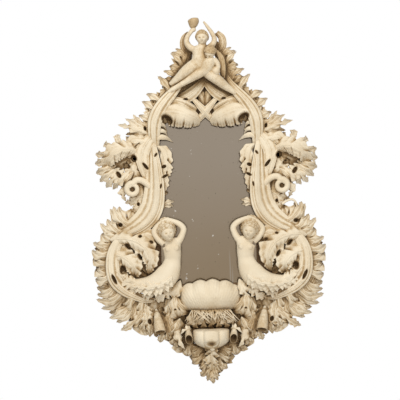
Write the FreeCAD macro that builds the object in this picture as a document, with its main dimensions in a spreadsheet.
import FreeCAD, Part
import math
import os
import re

# A tall wall mirror of carved and lacquered wood. +Z is up, the front faces -Y and the wall is the
# plane y = 0. The origin is the middle of the sight opening, on the wall.

Vector = FreeCAD.Vector
doc = FreeCAD.newDocument("carved_mirror")
sheet = doc.addObject("Spreadsheet::Sheet", "sizes")

SIZES = (
    # Sight opening of the glass
    ("opening_width", 480),
    ("opening_height", 840),
    # Strainer: the joined frame that carries the glass and the carving
    ("stile_width", 50),
    ("rail_height", 75),
    ("strainer_depth", 45),
    ("sight_lip", 12),
    ("rebate", 10),
    ("tenon_length", 26),
    ("tenon_thickness", 15),
    ("tenon_shoulder", 14),
    ("mortise_slack", 1),
    ("peg_radius", 4),
    ("corner_cut", 30),
    ("fit", 0.05),
    # Tapered boards that reach out behind the carving, housed in the front of the strainer
    ("batten_end", 90),
    ("batten_depth", 22),
    ("batten_lap", 40),
    ("batten_clearance", 7),
    ("crest_reach", 230),
    ("pendant_reach", 270),
    ("scroll_reach", 190),
    ("scroll_lift", 120),
    ("scroll_root", 240),
    ("scroll_end", 150),
    # Lath across the back, let into the stiles
    ("brace_height", 80),
    ("brace_depth", 10),
    ("brace_lap", 30),
    # Plate, board and fillets in the rebate
    ("glass_thickness", 4),
    ("board_thickness", 8),
    ("plate_slack", 1),
    ("fillet_width", 9),
    ("fillet_depth", 10),
    # Countersunk wood screws
    ("screw_radius", 2),
    ("screw_head", 4),
    ("screw_head_height", 2),
    ("screw_length", 34),
    ("screw_pitch", 40),
    # Strap hangers with swinging rings, in pockets in the back of the top rail
    ("hanger_spacing", 300),
    ("hanger_drop", 22),
    ("strap_width", 20),
    ("strap_length", 36),
    ("strap_thickness", 2.5),
    ("strap_screw_upper", 13),
    ("strap_screw_lower", 31),
    ("strap_screw_length", 18),
    ("knuckle_radius", 5),
    ("knuckle_length", 16),
    ("ring_wire", 2.5),
    ("ring_half_width", 15),
    ("ring_length", 26),
    ("ring_corner", 5),
    ("ring_clearance", 0.5),
    ("pocket_width", 46),
    ("pocket_depth", 13),
    # Carving
    ("flute_depth", 7),
    ("mermaid_head", 42),
    ("angel_head", 38),
    ("child_head", 32),
    ("volute_radius", 37),
    ("volute_wire", 13),
)

for row, (alias, value) in enumerate(SIZES, 1):
    sheet.set("A%d" % row, alias)
    sheet.set("B%d" % row, str(value))
    sheet.setAlias("B%d" % row, alias)
doc.recompute()


def size(alias):
    """A driving dimension, read back from the sheet."""
    return float(sheet.get(alias))


def formula(text):
    """The text as an expression on the sheet's cells."""
    return re.sub(r"[a-z_]{2,}", lambda word: "sizes." + word.group(), text)


def bind(thing, **formulas):
    """Bind properties to formulas; x, y and z are the place."""
    for name, text in formulas.items():
        path = "Placement.Base." + name if name in "xyz" else name
        thing.setExpression(path, formula(text))
    return thing


def block(label, length, depth, height, x, y, z):
    """A box with its lowest corner at x, y, z."""
    box = doc.addObject("Part::Box", label)
    return bind(box, Length=length, Width=depth, Height=height, x=x, y=y, z=z)


# Turns a cylinder or cone that stands along +Z so that it runs along -Y, or along +X.
INTO_FRAME = FreeCAD.Rotation(Vector(1, 0, 0), 90)
ALONG_X = FreeCAD.Rotation(Vector(0, 1, 0), 90)


def rod(label, radius, length, x, y, z, turn=INTO_FRAME):
    """A cylinder that starts at x, y, z and runs into the frame from its back."""
    cylinder = doc.addObject("Part::Cylinder", label)
    cylinder.Placement.Rotation = turn
    return bind(cylinder, Radius=radius, Height=length, x=x, y=y, z=z)


def join(label, pieces):
    fused = doc.addObject("Part::MultiFuse", label)
    fused.Shapes = pieces
    return fused


def cut(label, base, tools):
    result = doc.addObject("Part::Cut", label)
    result.Base = base
    result.Tool = tools[0] if len(tools) == 1 else join(label + "_tools", tools)
    return result


def group(label, pieces):
    """Separate solids that share one node."""
    together = doc.addObject("Part::Compound", label)
    together.Links = pieces
    return together


def screw(label, x, y, z, length, slack="0"):
    """A countersunk wood screw driven into the frame from its back, or with slack its hole."""
    shank = rod(label + "_shank", "screw_radius + " + slack, length + " + " + slack, x, y, z)
    head = doc.addObject("Part::Cone", label + "_head")
    head.Placement.Rotation = INTO_FRAME
    bind(head, Radius1="screw_head + " + slack, Radius2="screw_radius + " + slack,
         Height="screw_head_height", x=x, y=y, z=z)
    return join(label, [shank, head])


parts = []


def keep(piece, label):
    piece.Label = label
    parts.append(piece)


# Where the strainer's members lie
HALF_W = "(opening_width / 2)"
HALF_H = "(opening_height / 2)"
OUTER_W = "(opening_width / 2 + stile_width)"
OUTER_H = "(opening_height / 2 + rail_height)"
TENON_LOW = "(opening_height / 2 + rebate + tenon_shoulder)"
TENON_TALL = "(rail_height - rebate - 2 * tenon_shoulder)"
SCROLL_Z = "(scroll_lift - opening_height / 2)"
SIDES = (("left", "-"), ("right", "+"))
ENDS = (("bottom", "-"), ("top", "+"))


def from_centre(sign, near, far):
    """Lowest value and extent of a span that lies near to far on the side that sign gives."""
    return ("-(%s)" % far if sign == "-" else near), "(%s) - (%s)" % (far, near)


def rebate_pocket(label):
    """The room for the plate, its board and its fillets, open at the back."""
    return block(label, "opening_width + 2 * rebate", "strainer_depth - sight_lip",
                 "opening_height + 2 * rebate", "-%s - rebate" % HALF_W,
                 "-(strainer_depth - sight_lip)", "-%s - rebate" % HALF_H)


def tenon(label, side, end, slack="0"):
    x, length = from_centre(side, HALF_W, HALF_W + " + tenon_length + " + slack)
    z, height = from_centre(end, TENON_LOW, TENON_LOW + " + " + TENON_TALL)
    return block(label, length, "tenon_thickness", height,
                 x, "-(strainer_depth + tenon_thickness) / 2", z)


def peg(label, side, end, slack="0"):
    return rod(label, "peg_radius + " + slack, "strainer_depth", "%s(%s + tenon_length / 2)" % (side, HALF_W),
               "0", "%s(%s + %s / 2)" % (end, TENON_LOW, TENON_TALL))


def tapered_board(label, turn, root, tip, reach, x, z):
    """A board that is root wide where it laps on the strainer and tip wide where its reach ends.

    It runs upwards from x, z, or to the side that the turn in degrees gives."""
    board = doc.addObject("Part::Wedge", label)
    board.Placement.Rotation = FreeCAD.Rotation(Vector(0, 1, 0), turn).multiply(INTO_FRAME)
    bind(board, Xmin="-%s / 2" % root, Xmax="%s / 2" % root, X2min="-%s / 2" % tip, X2max="%s / 2" % tip)
    bind(board, Ymin="0", Ymax="batten_lap + " + reach)
    bind(board, Zmin="0", Zmax="batten_depth", Z2min="0", Z2max="batten_depth")
    return bind(board, x=x, y="batten_depth - strainer_depth", z=z)


# The crest board stays clear of the hanger pockets, and the pendant board of the stiles.
CREST_ROOT = "(hanger_spacing - pocket_width - 2 * batten_clearance)"
PENDANT_ROOT = "(opening_width - 2 * batten_clearance)"


def upright_batten(label, end):
    """The crest board or the pendant board."""
    z = "%s(%s - batten_lap)" % (end, OUTER_H)
    if end == "+":
        return tapered_board(label, 0, CREST_ROOT, "batten_end", "crest_reach", "0", z)
    return tapered_board(label, 180, PENDANT_ROOT, "batten_end", "pendant_reach", "0", z)


def scroll_batten(label, side):
    """The board behind a lower scroll."""
    x = "%s(%s - batten_lap)" % (side, OUTER_W)
    turn = 90 if side == "+" else -90
    return tapered_board(label, turn, "scroll_root", "scroll_end", "scroll_reach", x, SCROLL_Z)


def brace(label):
    return block(label, "opening_width + 2 * (rebate + brace_lap)", "brace_depth", "brace_height",
                 "-%s - rebate - brace_lap" % HALF_W, "-brace_depth", "-brace_height / 2")


# Screws through the rails and stiles into the boards, and through the lath into the stiles
SCREW_PLACES = []
for end_name, end_sign in ENDS:
    for side_name, side_sign in SIDES:
        SCREW_PLACES.append((end_name + "_rail", "%sscrew_pitch / 2" % side_sign,
                             "%s(%s - batten_lap / 2)" % (end_sign, OUTER_H)))
for side_name, side_sign in SIDES:
    for end_name, end_sign in ENDS:
        SCREW_PLACES.append(("stile_" + side_name, "%s(%s - batten_lap / 2)" % (side_sign, OUTER_W),
                             "%s %s screw_pitch / 2" % (SCROLL_Z, end_sign)))
        SCREW_PLACES.append(("brace_" + side_name, "%s(%s + rebate + brace_lap / 2)" % (side_sign, HALF_W),
                             "%sscrew_pitch / 2" % end_sign))


def screw_holes(label, members):
    """One hole for each screw that passes through one of these members."""
    holes = []
    for number, (member, x, z) in enumerate(SCREW_PLACES):
        if member in members:
            holes.append(screw("%s_hole_%d" % (label, number), x, "0", z, "screw_length", "fit"))
    return holes


def corner_wedge(label, side):
    """A slanted block that takes the upper outer corner off a stile, so that it stays behind the carving."""
    wedge = doc.addObject("Part::Box", label)
    wedge.Placement.Rotation = FreeCAD.Rotation(Vector(0, 1, 0), 45 if side == "+" else -45)
    bind(wedge, Length="3 * corner_cut", Width="strainer_depth", Height="2 * corner_cut", y="-strainer_depth")
    if side == "+":
        return bind(wedge, x=OUTER_W + " - 1.5 * corner_cut", z=OUTER_H + " + 0.5 * corner_cut")
    return bind(wedge, x="-%s - 0.5 * corner_cut" % OUTER_W, z=OUTER_H + " - 1.5 * corner_cut")


def stile(name, side):
    tools = [rebate_pocket(name + "_rebate"), brace(name + "_brace_housing"),
             scroll_batten(name + "_housing", side), corner_wedge(name + "_corner", side)]
    for end_name, end_sign in ENDS:
        tools.append(tenon("%s_%s_mortise" % (name, end_name), side, end_sign, "mortise_slack"))
        tools.append(peg("%s_%s_peg_hole" % (name, end_name), side, end_sign, "fit"))
    tools += screw_holes(name, (name, name.replace("stile", "brace")))
    x, length = from_centre(side, HALF_W, OUTER_W)
    return cut(name, block(name + "_blank", length, "strainer_depth", "2 * " + OUTER_H,
                           x, "-strainer_depth", "-" + OUTER_H), tools)


def rail(name, end, more_tools):
    z, height = from_centre(end, HALF_H, OUTER_H)
    bar = block(name + "_blank", "opening_width", "strainer_depth", height,
                "-" + HALF_W, "-strainer_depth", z)
    tools = [rebate_pocket(name + "_rebate"), upright_batten(name + "_housing", end)]
    members = [bar]
    for side_name, side_sign in SIDES:
        members.append(tenon("%s_%s_tenon" % (name, side_name), side_sign, end))
        tools.append(peg("%s_%s_peg_hole" % (name, side_name), side_sign, end, "fit"))
    tools += screw_holes(name, (name,)) + more_tools
    return cut(name, join(name + "_bar", members), tools)


# Strap hangers: a plate with a knuckle at its top, and a ring that swings in the knuckle
AXIS_Z = "(%s - hanger_drop)" % OUTER_H
PLATE_BACK = "(strap_thickness - pocket_depth)"
AXIS_Y = "(strap_thickness - pocket_depth + ring_clearance + ring_wire)"
STRAP_SCREWS = ("strap_screw_upper", "strap_screw_lower")


def hanger_x(side):
    return "%shanger_spacing / 2" % side


def hanger_screws(label, side, slack="0"):
    return [screw("%s_%s" % (label, drop), hanger_x(side), PLATE_BACK, "%s - %s" % (AXIS_Z, drop),
                  "strap_screw_length", slack) for drop in STRAP_SCREWS]


def hanger_pocket(label, side):
    """Open at the top edge of the rail, so that the ring can swing up."""
    return block(label, "pocket_width", "pocket_depth", "strap_length + hanger_drop + 2 * plate_slack",
                 "%s - pocket_width / 2" % hanger_x(side), "-pocket_depth",
                 "%s - strap_length - plate_slack" % AXIS_Z)


def hanger_strap(name, side):
    plate = block(name + "_plate", "strap_width", "strap_thickness", "strap_length",
                  "%s - strap_width / 2" % hanger_x(side), "-pocket_depth", AXIS_Z + " - strap_length")
    barrel = rod(name + "_barrel", "knuckle_radius", "knuckle_length",
                 "%s - knuckle_length / 2" % hanger_x(side), AXIS_Y, AXIS_Z, ALONG_X)
    bore = rod(name + "_bore", "ring_wire + fit", "knuckle_length",
               "%s - knuckle_length / 2" % hanger_x(side), AXIS_Y, AXIS_Z, ALONG_X)
    tools = [bore] + hanger_screws(name + "_hole", side, "fit")
    return cut(name, join(name + "_body", [plate, barrel]), tools)


def hanger_ring(name, side):
    """Round wire along a closed D: a straight leg in the knuckle, rounded corners and a half-round end."""
    half, corner, wire = size("ring_half_width"), size("ring_corner"), size("ring_wire")
    drop = size("ring_length") - half
    lean = corner * (1 - math.sqrt(0.5))
    leg_left, leg_right = Vector(corner - half, 0, 0), Vector(half - corner, 0, 0)
    path = Part.Wire([
        Part.LineSegment(leg_left, leg_right).toShape(),
        Part.Arc(leg_right, Vector(half - lean, 0, -lean), Vector(half, 0, -corner)).toShape(),
        Part.LineSegment(Vector(half, 0, -corner), Vector(half, 0, -drop)).toShape(),
        Part.Arc(Vector(half, 0, -drop), Vector(0, 0, -drop - half), Vector(-half, 0, -drop)).toShape(),
        Part.LineSegment(Vector(-half, 0, -drop), Vector(-half, 0, -corner)).toShape(),
        Part.Arc(Vector(-half, 0, -corner), Vector(lean - half, 0, -lean), leg_left).toShape(),
    ])
    section = Part.Wire(Part.Circle(leg_left, Vector(1, 0, 0), wire).toShape())
    ring = doc.addObject("Part::Feature", name)
    ring.Shape = path.makePipeShell([section], True, False)
    ring.Placement.Rotation = FreeCAD.Rotation()
    return bind(ring, x=hanger_x(side), y=AXIS_Y, z=AXIS_Z)


for side_name, side_sign in SIDES:
    keep(stile("stile_" + side_name, side_sign), "stile_" + side_name)

pockets = []
for side_name, side_sign in SIDES:
    pockets.append(hanger_pocket("hanger_pocket_" + side_name, side_sign))
    pockets += hanger_screws("hanger_hole_" + side_name, side_sign, "fit")
keep(rail("top_rail", "+", pockets), "top_rail")
keep(rail("bottom_rail", "-", []), "bottom_rail")

for name, end_sign, rail_name in (("crest_batten", "+", "top_rail"), ("pendant_batten", "-", "bottom_rail")):
    blank = upright_batten(name + "_blank", end_sign)
    keep(cut(name, blank, screw_holes(name, (rail_name,))), name)
for side_name, side_sign in SIDES:
    name = "scroll_batten_" + side_name
    blank = scroll_batten(name + "_blank", side_sign)
    keep(cut(name, blank, screw_holes(name, ("stile_" + side_name,))), name)
keep(cut("back_brace", brace("back_brace_blank"), screw_holes("back_brace", ("brace_left", "brace_right"))),
     "back_brace")

pegs = [peg("peg_%s_%s" % (side, end), side_sign, end_sign)
        for side, side_sign in SIDES for end, end_sign in ENDS]
keep(group("strainer_pegs", pegs), "strainer_pegs")
screws = [screw("frame_screw_%d" % number, x, "0", z, "screw_length")
          for number, (member, x, z) in enumerate(SCREW_PLACES)]
keep(group("frame_screws", screws), "frame_screws")

PLATE_W = "(opening_width + 2 * (rebate - plate_slack))"
PLATE_H = "(opening_height + 2 * (rebate - plate_slack))"
GLASS_BACK = "(-strainer_depth + sight_lip + glass_thickness)"
BOARD_BACK = "(-strainer_depth + sight_lip + glass_thickness + board_thickness)"
keep(block("mirror_glass", PLATE_W, "glass_thickness", PLATE_H, "-%s / 2" % PLATE_W,
           "-strainer_depth + sight_lip", "-%s / 2" % PLATE_H), "mirror_glass")
keep(block("back_board", PLATE_W, "board_thickness", PLATE_H, "-%s / 2" % PLATE_W, GLASS_BACK,
           "-%s / 2" % PLATE_H), "back_board")

# Fillets fixed to the walls of the rebate: two uprights over the full height, two cross pieces between them
fillets = []
for side_name, side_sign in SIDES:
    x, length = from_centre(side_sign, HALF_W + " + rebate - fillet_width", HALF_W + " + rebate")
    fillets.append(block("fillet_" + side_name, length, "fillet_depth", "opening_height + 2 * rebate",
                         x, BOARD_BACK, "-%s - rebate" % HALF_H))
for end_name, end_sign in ENDS:
    z, height = from_centre(end_sign, HALF_H + " + rebate - fillet_width", HALF_H + " + rebate")
    fillets.append(block("fillet_" + end_name, "opening_width + 2 * (rebate - fillet_width)", "fillet_depth",
                         height, "-%s - rebate + fillet_width" % HALF_W, BOARD_BACK, z))
keep(group("backboard_fillets", fillets), "backboard_fillets")

strap_screws = []
for side_name, side_sign in SIDES:
    keep(hanger_strap("hanger_strap_" + side_name, side_sign), "hanger_strap_" + side_name)
    keep(hanger_ring("hanger_ring_" + side_name, side_sign), "hanger_ring_" + side_name)
    strap_screws += hanger_screws("hanger_screw_" + side_name, side_sign)
keep(group("hanger_screws", strap_screws), "hanger_screws")

# The carving is drawn on a pattern for an opening of this width and height. Points are x, z and the
# height above the strainer's front. For another opening each carving keeps its form and goes with its
# corner, or with the middle of the top or the foot. Only the long pieces beside the glass are let out,
# near the middle of their length.
DRAWN_WIDTH = 480.0
DRAWN_HEIGHT = 840.0
LET_OUT = 200.0
WIDER = (size("opening_width") - DRAWN_WIDTH) / 2
TALLER = (size("opening_height") - DRAWN_HEIGHT) / 2


def lay(x, z, rise):
    """A point of the pattern, placed on the strainer."""
    return Vector(x, -size("strainer_depth") - rise, z)


def let_out(points):
    """A spine whose ends move apart as the opening gets taller."""
    return [(x, z + TALLER * max(-1.0, min(1.0, z / LET_OUT)), rise) for x, z, rise in points]


def facet(*corners):
    return Part.Face(Part.makePolygon(list(corners) + [corners[0]]))


def skin(sections):
    """A closed solid with flat facets between neighbouring sections, capped by fans."""
    faces = []
    count = len(sections[0])
    for near, far in zip(sections, sections[1:]):
        for here in range(count):
            after = (here + 1) % count
            faces.append(facet(near[here], near[after], far[after]))
            faces.append(facet(near[here], far[after], far[here]))
    for end in (sections[0], sections[-1]):
        for here in range(1, count - 1):
            faces.append(facet(end[0], end[here], end[here + 1]))
    solid = Part.makeSolid(Part.makeShell(faces))
    if solid.Volume < 0:
        solid.reverse()
    return solid


def spine_curve(points):
    """A smooth curve through the points of a pattern."""
    curve = Part.BSplineCurve()
    curve.interpolate([lay(*point) for point in points])
    return curve


def stations(curve, count):
    """Evenly spaced points of a curve, with its direction on the pattern and how fast that turns."""
    places = []
    length = curve.length()
    for number in range(count):
        share = number / (count - 1)
        spot = curve.parameterAtDistance(length * share, curve.FirstParameter)
        tangent = curve.tangent(spot)[0]
        places.append((share, curve.value(spot), Vector(tangent.x, 0, tangent.z).normalize()))
    rows = []
    for number, (share, point, ahead) in enumerate(places):
        before = places[max(number - 1, 0)]
        after = places[min(number + 1, count - 1)]
        turn = before[2].cross(after[2]).y / max((after[1] - before[1]).Length, 1e-6)
        rows.append((share, point, ahead, turn))
    return rows, length / (count - 1)


TOWARD_VIEWER = Vector(0, -1, 0)

# How a leaf is cut: where it is widest, how far a lobe leans forward for the spacing of the sections,
# the place of the swelling beside the midrib, the height of the edge, the half width of its foot, and
# the share of the height that the midrib may be sunk. A leaf on the inside of a bend stops short of
# the bend's centre.
WIDEST = 0.45
LOBE_LEAN = 0.45
SWELLING = 0.5
SWELLING_LEAN = 0.4
EDGE_HEIGHT = 0.42
FOOT_WIDTH = 0.6
DEEPEST_FLUTE = 0.3
INSIDE_BEND = 0.75
TIP_WIDTH = 2.5


def swell(share, base, tip):
    """Width along a leaf: base at its root, full a little before the middle, tip at its end."""
    if share < WIDEST:
        return base + (1 - base) * math.sin(math.pi / 2 * share / WIDEST)
    return tip + (1 - tip) * math.cos(math.pi / 2 * (share - WIDEST) / (1 - WIDEST))


def frond(points, left, right, lobes, notch=0.38, base=0.6, tip=0.12, thick=60.0):
    """A carved acanthus leaf along a spine: lobed edges, two swellings and a sunk midrib.

    The widths left and right are seen from the front, in the spine's direction. Its back lies on the
    strainer's front, or thick below the spine where the leaf lifts off."""
    rows, step = stations(spine_curve(points), 2 * lobes + 1)
    ground = -size("strainer_depth")
    sections = []
    for number, (share, point, ahead, turn) in enumerate(rows):
        across = ahead.cross(TOWARD_VIEWER)
        rise = max(ground - point.y, TIP_WIDTH * 2)
        floor = max(0.0, rise - thick)
        body = rise - floor
        lobed = number % 2 == 1
        outline = []
        for sign, width in ((-1, left), (1, right)):
            reach = width * swell(share, base, tip) * (1.0 if lobed else 1 - notch)
            inward = sign * turn
            if inward > 0:
                reach = min(reach, INSIDE_BEND / inward)
            reach = max(reach, TIP_WIDTH)
            lean = LOBE_LEAN * step * (1 - reach * max(inward, 0)) if lobed else 0.0
            outline.append((sign * reach, lean))
        (far_left, lean_left), (far_right, lean_right) = outline
        profile = ((0, body - min(size("flute_depth"), DEEPEST_FLUTE * body), 0),
                   (SWELLING * far_right, body, SWELLING_LEAN * lean_right),
                   (far_right, EDGE_HEIGHT * body, lean_right),
                   (FOOT_WIDTH * far_right, 0, 0),
                   (FOOT_WIDTH * far_left, 0, 0),
                   (far_left, EDGE_HEIGHT * body, lean_left),
                   (SWELLING * far_left, body, SWELLING_LEAN * lean_left))
        foot = Vector(point.x, ground - floor, point.z)
        sections.append([foot + across * aside + ahead * lean + TOWARD_VIEWER * high
                         for aside, high, lean in profile])
    return skin(sections)


END_ON = 0.2


def limb(points, sides=8):
    """A rounded member through points x, z, rise, radius and, where it is flattened, its depth."""
    centres = [lay(*point[:3]) for point in points]
    sections = []
    across = None
    for number, point in enumerate(points):
        before = centres[max(number - 1, 0)]
        after = centres[min(number + 1, len(points) - 1)]
        ahead = (after - before).normalize()
        if across is None:
            across = ahead.cross(TOWARD_VIEWER)
            if across.Length < END_ON:
                across = Vector(1, 0, 0)
        across = (across - ahead * across.dot(ahead)).normalize()
        outward = across.cross(ahead)
        wide, deep = point[3], point[-1]
        ring = []
        for corner in range(sides):
            angle = 2 * math.pi * (corner + 0.5) / sides
            aside = across * (wide * math.cos(angle))
            ring.append(centres[number] + aside + outward * (deep * math.sin(angle)))
        sections.append(ring)
    return skin(sections)


BALL_RINGS = (-72, -42, -14, 14, 42, 72)


def ball(x, z, rise, radius):
    """A rounded head as a limb that swells and closes again, with a ring at each of these latitudes."""
    rings = []
    for angle in BALL_RINGS:
        spread = radius * math.cos(math.radians(angle))
        rings.append((x, z + radius * math.sin(math.radians(angle)), rise, spread))
    return limb(rings, 10)


# A snail winds from its first angle clockwise to its last, in steps of so many degrees, round a boss
# that is given by its height and its radius as shares of the snail's own.
SNAIL_TURN = range(110, -180, -36)
SNAIL_BOSS = ((0.3, 0.9), (1.0, 0.9), (1.1, 0.5))


def volute(x, z, rise, radius, wire, stem):
    """A snail: a rounded member that runs along its stem and winds round a boss."""
    points = list(stem)
    reach = radius - wire
    for degrees in SNAIL_TURN:
        angle = math.radians(degrees)
        points.append((x + reach * math.cos(angle), z + reach * math.sin(angle), rise, wire))
    boss = limb([(x, z, high * rise, wide * radius) for high, wide in SNAIL_BOSS])
    return limb(points, 6).fuse(boss)


def fuse(solids):
    return solids[0].multiFuse(solids[1:]) if len(solids) > 1 else solids[0]


def crest_spray():
    """Leaves that fan out beside the crest figures."""
    return fuse([
        frond([(40, 600, 60), (80, 660, 66), (108, 702, 50), (122, 744, 22)], 46, 44, 4),
        frond([(60, 590, 55), (112, 632, 60), (145, 652, 45), (176, 670, 20)], 44, 40, 4),
        frond([(90, 570, 55), (150, 592, 58), (198, 592, 42), (240, 584, 18)], 42, 44, 4),
    ])


def crest_scroll():
    """The band over a shell that runs down to the side, with leaf tips on its outside."""
    return fuse([
        frond([(70, 572, 66), (125, 548, 74), (190, 508, 78), (238, 455, 76), (264, 395, 70), (270, 335, 60),
               (254, 284, 40)], 56, 40, 7, notch=0.3, base=0.6),
        frond([(165, 530, 50), (215, 540, 52), (255, 540, 38), (290, 535, 18)], 40, 36, 3),
        frond([(225, 480, 50), (265, 490, 50), (290, 488, 34), (308, 478, 16)], 38, 34, 3),
        frond([(250, 430, 50), (285, 440, 46), (305, 440, 30), (324, 432, 14)], 36, 34, 3),
    ])


def top_shell():
    """The broad rolled leaf that hangs over a top corner of the glass, with the hollow of its roll."""
    leaf = frond([(238, 412, 50), (204, 436, 66), (150, 438, 84), (96, 424, 84), (54, 404, 64),
                  (28, 390, 34)], 74, 42, 6, notch=0.16, base=0.5, tip=0.25)
    return leaf.cut(limb([(188, 408, 26, 18, 12), (186, 406, 100, 32, 22)], 8))


def ear_leaf():
    """Leaves that stand out at an upper corner."""
    return fuse([
        frond([(270, 322, 55), (320, 350, 62), (372, 378, 48), (434, 388, 18)], 60, 48, 4),
        frond([(290, 296, 55), (340, 302, 66), (380, 292, 52), (404, 262, 26)], 36, 34, 3),
    ])


# Petals of a rosette: direction in degrees, length and half width. Each rises and drops over its length.
PETALS = ((82, 140, 40), (36, 118, 50), (-8, 112, 50), (-52, 128, 46), (-100, 100, 46), (150, 130, 48),
          (196, 136, 50))
PETAL_RISE = ((0.1, 60), (0.45, 84), (0.78, 62), (1.0, 26))


def rosette():
    """A flower head of curling leaves at the widest point of the side."""
    x, z = 428, 200
    petals = [ball(x, z, 52, 46)]
    for angle, length, width in PETALS:
        run = length * math.cos(math.radians(angle))
        climb = length * math.sin(math.radians(angle))
        spine = [(x + run * share, z + climb * share, rise) for share, rise in PETAL_RISE]
        petals.append(frond(spine, width, width, 3, base=0.8, thick=46))
    return fuse(petals)


def snail_volute():
    """A rolled stem beside the glass, with two leaves below it."""
    snail = volute(372, 62, 60, size("volute_radius"), size("volute_wire"),
                   [(262, 44, 40, 14), (300, 80, 52, 14), (336, 98, 60, 13)])
    return fuse([
        snail,
        frond([(300, 30, 45), (345, 2, 52), (380, -6, 40), (414, -4, 18)], 36, 30, 3),
        frond([(296, -20, 45), (338, -38, 50), (365, -48, 38), (394, -50, 18)], 34, 34, 3),
    ])


def sight_leaf():
    """Small leaves in a row along an upright edge of the glass."""
    spine = [(232, 345, 40), (206, 295, 44), (192, 220, 48), (198, 140, 48), (212, 60, 46), (206, -20, 40),
             (228, -68, 22)]
    return frond(let_out(spine), 40, 42, 8, notch=0.42)


def side_frond():
    """The long fluted stem beside the glass, which swings out at its foot."""
    spine = [(288, 312, 50), (268, 232, 68), (258, 150, 76), (248, 50, 80), (258, -30, 82), (290, -88, 84),
             (350, -132, 80), (420, -162, 66), (486, -198, 36)]
    return frond(let_out(spine), 54, 40, 7, notch=0.14, base=0.6, tip=0.4)


def outer_leaf():
    """Leaves that fan out over the shoulder of the C-scroll."""
    return fuse([
        frond([(372, -138, 50), (425, -102, 58), (466, -74, 45), (502, -46, 18)], 46, 42, 4),
        frond([(420, -152, 50), (482, -134, 56), (522, -124, 40), (554, -126, 18)], 46, 46, 4),
        frond([(460, -185, 50), (515, -186, 54), (552, -196, 38), (584, -212, 16)], 42, 42, 4),
    ])


def lower_scroll():
    """The big C-scroll at the foot of a side."""
    return frond([(395, -160, 56), (472, -192, 70), (532, -252, 78), (550, -330, 80), (534, -404, 78),
                  (475, -460, 74), (400, -492, 68), (332, -512, 54), (286, -506, 34)],
                 44, 46, 9, notch=0.22, base=0.6, tip=0.4)


def inner_curl():
    """Leaves that roll back from the C-scroll towards the figure."""
    return fuse([
        frond([(430, -182, 66), (355, -188, 92), (304, -228, 100), (284, -290, 88), (300, -345, 50)],
              54, 54, 4, thick=70),
        frond([(490, -232, 66), (432, -232, 92), (392, -268, 104), (392, -322, 94), (430, -352, 60)],
              52, 50, 4, thick=70),
        frond([(525, -312, 66), (478, -302, 88), (436, -334, 92), (424, -388, 76), (448, -432, 44)],
              50, 50, 4, thick=70),
    ])


def mermaid():
    """A figure with both arms over her head, whose body runs out into a leafy tail."""
    return fuse([
        limb([(204, -172, 92, 17), (196, -196, 90, 24), (186, -216, 88, 54, 34), (180, -246, 90, 48, 38),
              (180, -290, 88, 40, 32), (194, -338, 86, 56, 42), (232, -388, 82, 60, 44),
              (292, -412, 76, 46, 40), (350, -414, 70, 36, 32), (402, -404, 62, 22, 22)], 10),
        ball(212, -152, 92, size("mermaid_head")),
        limb([(152, -208, 92, 19), (132, -172, 94, 17), (124, -138, 92, 16), (160, -108, 96, 14),
              (206, -92, 92, 12)], 6),
        limb([(226, -208, 84, 19), (258, -180, 88, 17), (270, -152, 88, 15), (240, -116, 92, 13),
              (200, -92, 94, 12)], 6),
        frond([(150, -400, 60), (190, -440, 66), (250, -462, 58), (330, -470, 30)], 38, 38, 3),
    ])


def lower_fringe():
    """Ragged leaves that hang below the C-scroll."""
    return fuse([
        frond([(440, -452, 52), (500, -478, 56), (534, -496, 42), (560, -516, 18)], 44, 46, 4),
        frond([(405, -484, 52), (438, -536, 56), (455, -574, 42), (468, -606, 18)], 46, 46, 4),
        frond([(345, -500, 52), (375, -558, 58), (394, -600, 42), (414, -634, 18)], 46, 46, 4),
        frond([(295, -512, 54), (312, -588, 66), (324, -650, 48), (338, -704, 18)], 52, 50, 4),
        frond([(215, -505, 58), (232, -590, 74), (226, -665, 54), (204, -740, 18)], 56, 58, 4),
    ])


def cone_leaf():
    """A leaf rolled into a cone, open at its lower end."""
    outside = limb([(268, -534, 66, 16), (264, -570, 80, 27), (257, -608, 98, 36), (252, -638, 118, 40)], 10)
    hollow = limb([(259, -600, 93, 16), (255, -622, 107, 27), (251, -643, 121, 34)], 10)
    return outside.cut(hollow)


def console_horn():
    """A curling horn beside the console block, with a leaf at its back."""
    return fuse([
        limb([(72, -655, 96, 22), (112, -662, 108, 25), (138, -690, 100, 23), (128, -722, 84, 16),
              (104, -730, 76, 10)], 8),
        frond([(118, -650, 60), (158, -672, 66), (182, -705, 50), (196, -738, 18)], 42, 44, 3),
    ])


def crest_bracket():
    """Crossing straps under the crest figures, with leaf feet."""
    straps = [frond([(0, 430, 44), (0, 490, 62), (0, 545, 72), (0, 598, 60)], 34, 34, 3, notch=0.25, tip=0.6)]
    for side in (-1, 1):
        straps.append(frond([(side * 2, 404, 34), (side * 22, 446, 52), (side * 62, 492, 58),
                             (side * 120, 504, 46)], 17, 17, 3, notch=0.1, base=0.9, tip=0.7))
        straps.append(frond([(side * 6, 440, 40), (side * 24, 418, 44), (side * 42, 396, 22)], 14, 14, 2))
    return fuse(straps)


# The shell: half its width, its upper edge, its widest line and its foot, its ribs on each side of the
# middle, its least and greatest height, and how far a rib and a lobe of the edge stand out.
SHELL_HALF = 152.0
SHELL_TOP = -408.0
SHELL_WAIST = -492.0
SHELL_FOOT = -562.0
SHELL_RIBS = 10
SHELL_RIM = 34.0
SHELL_BULGE = 96.0
SHELL_RIB = 5.0
SHELL_LOBE = 10.0
SHELL_END = 12.0
SHELL_BACK = 6.0
# Its section from the upper edge to the foot: share of the way down and share of the height
SHELL_SECTION = ((0.0, 0.4), (0.3, 0.86), (0.5, 1.0), (0.8, 0.86), (1.0, 0.45))


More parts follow.
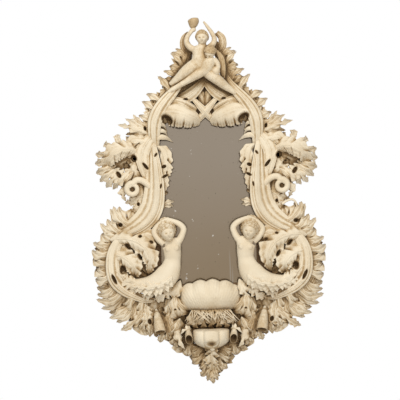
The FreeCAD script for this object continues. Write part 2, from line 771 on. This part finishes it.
def centre_shell():
    """A bulging shell with a lobed upper edge, ribs that spread upwards and a narrower foot."""
    sections = []
    for number in range(-SHELL_RIBS, SHELL_RIBS + 1):
        across = number / SHELL_RIBS
        round_off = math.sqrt(max(0.0, 1 - across * across))
        crown = 1 if number % 2 else -1
        high = SHELL_WAIST + (SHELL_TOP - SHELL_WAIST) * round_off ** 0.6
        high += SHELL_LOBE * max(crown, 0) * round_off
        low = SHELL_WAIST + (SHELL_FOOT - SHELL_WAIST) * round_off ** 0.7
        rise = SHELL_RIM + SHELL_BULGE * round_off ** 0.8 + SHELL_RIB * crown
        if abs(number) == SHELL_RIBS:
            high, low, rise = SHELL_WAIST + SHELL_END, SHELL_WAIST - SHELL_END, 2 * SHELL_END
        x = SHELL_HALF * across
        profile = [lay(x, high + (low - high) * down, up * rise) for down, up in SHELL_SECTION]
        sections.append([lay(x, (high + low) / 2, SHELL_BACK), lay(x, high, SHELL_BACK)] + profile
                        + [lay(x, low, SHELL_BACK)])
    return skin(sections)


STRAW_PLACES = (-96, -48, 0, 48, 96)


def straw_fringe():
    """A bundle of straw below the shell, spread into pointed ends."""
    bundles = []
    for x in STRAW_PLACES:
        spine = [(x * 0.45, -540, 88), (x * 0.75, -580, 96), (x, -618, 78), (x * 1.12, -652, 34)]
        bundles.append(frond(spine, 30, 30, 3, notch=0.3, base=0.9, tip=0.25, thick=70))
    return fuse(bundles)


# Levels of the console block: height, half width and depth, and the facets round its front
CONSOLE_LEVELS = ((-644, 96, 150), (-656, 102, 168), (-672, 92, 160), (-696, 70, 128), (-716, 56, 108),
                  (-732, 46, 96), (-750, 36, 78))
CONSOLE_FACETS = 8


def console_block():
    """The deep block below the straw: rounded on plan and drawn in downwards over a cove."""
    sections = []
    for z, half, deep in CONSOLE_LEVELS:
        ring = [lay(0, z, 0)]
        for corner in range(CONSOLE_FACETS + 1):
            angle = math.pi * corner / CONSOLE_FACETS
            ring.append(lay(-half * math.cos(angle), z, deep * math.sin(angle)))
        sections.append(ring)
    return skin(sections)


def pendant_leaf():
    """The leaves of the drop."""
    leaves = [frond([(0, -738, 74), (0, -790, 82), (0, -838, 64), (0, -892, 26)], 76, 76, 4)]
    for side in (-1, 1):
        leaves.append(frond([(side * 44, -735, 58), (side * 80, -758, 62), (side * 106, -776, 46),
                             (side * 134, -786, 18)], 42, 42, 3))
    return fuse(leaves)


def pendant_tip():
    """The point of the drop."""
    return frond([(0, -852, 46), (1, -880, 46), (3, -906, 34), (6, -927, 12)], 24, 24, 3)


def crest_angel():
    """A winged child: head, chest and hips, one arm with a torch, one arm up, both legs astride."""
    return fuse([
        ball(-5, 805, 84, size("angel_head")),
        limb([(-5, 782, 82, 18), (-8, 758, 82, 26), (-10, 742, 82, 50, 34), (-16, 706, 82, 44, 36),
              (-22, 664, 80, 42, 36), (-24, 640, 76, 32, 30)], 10),
        limb([(-48, 748, 80, 16), (-78, 770, 84, 15), (-84, 800, 86, 13), (-62, 832, 86, 10),
              (-46, 850, 84, 10)], 6),
        limb([(-46, 844, 84, 8), (-48, 862, 84, 20), (-46, 888, 84, 30), (-50, 908, 84, 18)], 8),
        limb([(20, 750, 80, 18), (54, 784, 80, 14), (52, 822, 82, 11), (28, 852, 82, 8),
              (6, 886, 80, 5)], 6),
        limb([(-36, 676, 84, 30), (-92, 640, 92, 27), (-128, 612, 84, 20), (-166, 584, 70, 12)], 8),
        limb([(-6, 650, 84, 30), (52, 606, 90, 27), (100, 566, 82, 20), (152, 528, 78, 12)], 8),
    ])


def crest_child():
    """The smaller child that leans on the first."""
    return fuse([
        ball(30, 728, 128, size("child_head")),
        limb([(32, 706, 122, 18), (30, 690, 120, 32, 26), (18, 662, 114, 36, 30), (-6, 636, 106, 30, 28)], 8),
        limb([(-14, 634, 106, 24), (-62, 608, 98, 20), (-120, 574, 92, 15), (-182, 540, 84, 9)], 8),
        limb([(52, 694, 122, 13), (70, 662, 118, 12), (58, 632, 112, 14)], 6),
    ])


def wing():
    """A folded wing beside the first child's shoulder."""
    return frond([(44, 690, 46), (84, 752, 54), (88, 806, 48), (48, 842, 26)], 20, 26, 4,
                 notch=0.2, base=0.7, tip=0.5)


# How a carving goes with the opening: shares of its growth across and up
AT_TOP = (0, 1)
AT_FOOT = (0, -1)
AT_SIDE = (1, 0)
AT_UPPER_CORNER = (1, 1)
AT_LOWER_CORNER = (1, -1)

# Carvings from the front to the back. Each one is fitted round those before it. The pairs are cut alike
# on both sides.
CARVINGS = (
    ("crest_child", crest_child, AT_TOP, False),
    ("crest_angel", crest_angel, AT_TOP, False),
    ("console_block", console_block, AT_FOOT, False),
    ("centre_shell", centre_shell, AT_FOOT, False),
    ("mermaid", mermaid, AT_LOWER_CORNER, True),
    ("snail_volute", snail_volute, AT_SIDE, True),
    ("inner_curl", inner_curl, AT_LOWER_CORNER, True),
    ("cone_leaf", cone_leaf, AT_LOWER_CORNER, True),
    ("console_horn", console_horn, AT_FOOT, True),
    ("straw_fringe", straw_fringe, AT_FOOT, False),
    ("rosette", rosette, AT_UPPER_CORNER, True),
    ("top_shell", top_shell, AT_UPPER_CORNER, True),
    ("ear_leaf", ear_leaf, AT_UPPER_CORNER, True),
    ("side_frond", side_frond, AT_SIDE, True),
    ("lower_scroll", lower_scroll, AT_LOWER_CORNER, True),
    ("crest_scroll", crest_scroll, AT_UPPER_CORNER, True),
    ("sight_leaf", sight_leaf, AT_SIDE, True),
    ("outer_leaf", outer_leaf, AT_LOWER_CORNER, True),
    ("lower_fringe", lower_fringe, AT_LOWER_CORNER, True),
    ("pendant_leaf", pendant_leaf, AT_FOOT, False),
    ("pendant_tip", pendant_tip, AT_FOOT, False),
    ("crest_bracket", crest_bracket, AT_TOP, False),
    ("wing", wing, AT_TOP, True),
    ("crest_spray", crest_spray, AT_TOP, True),
)
CRUMB = 600.0


def fit_round(solid, placed):
    """The solid less the carvings that lie in front of it, without loose crumbs."""
    tools = [other for other in placed if solid.BoundBox.intersect(other.BoundBox)]
    fitted = solid.cut(tools) if tools else solid
    pieces = [piece for piece in fitted.Solids if piece.Volume > CRUMB]
    return pieces[0] if len(pieces) == 1 else Part.makeCompound(pieces)


placed = []
for name, make, (across, up), paired in CARVINGS:
    solid = make()
    solid.translate(Vector(across * WIDER, 0, up * TALLER))
    versions = [(name, solid)]
    if paired:
        mirrored = solid.mirror(Vector(0, 0, 0), Vector(1, 0, 0))
        versions = [(name + "_left", mirrored), (name + "_right", solid)]
    for label, shape in versions:
        carving = doc.addObject("Part::Feature", label)
        carving.Shape = fit_round(shape, placed)
        placed.append(carving.Shape)
        keep(carving, label)

doc.recompute()
for thing in doc.Objects:
    if "Invalid" in thing.State or "Error" in thing.State:
        raise RuntimeError("%s failed to build" % thing.Label)
for piece in parts:
    if piece.Shape.isNull() or not piece.Shape.isValid() or piece.Shape.Volume <= 0:
        raise RuntimeError("%s has no sound shape" % piece.Label)

os.makedirs("parts", exist_ok=True)
for piece in parts:
    piece.Shape.exportStep("parts/%s.step" % piece.Label)
print("%d sub-parts, %d faces" % (len(parts), sum(len(piece.Shape.Faces) for piece in parts)))
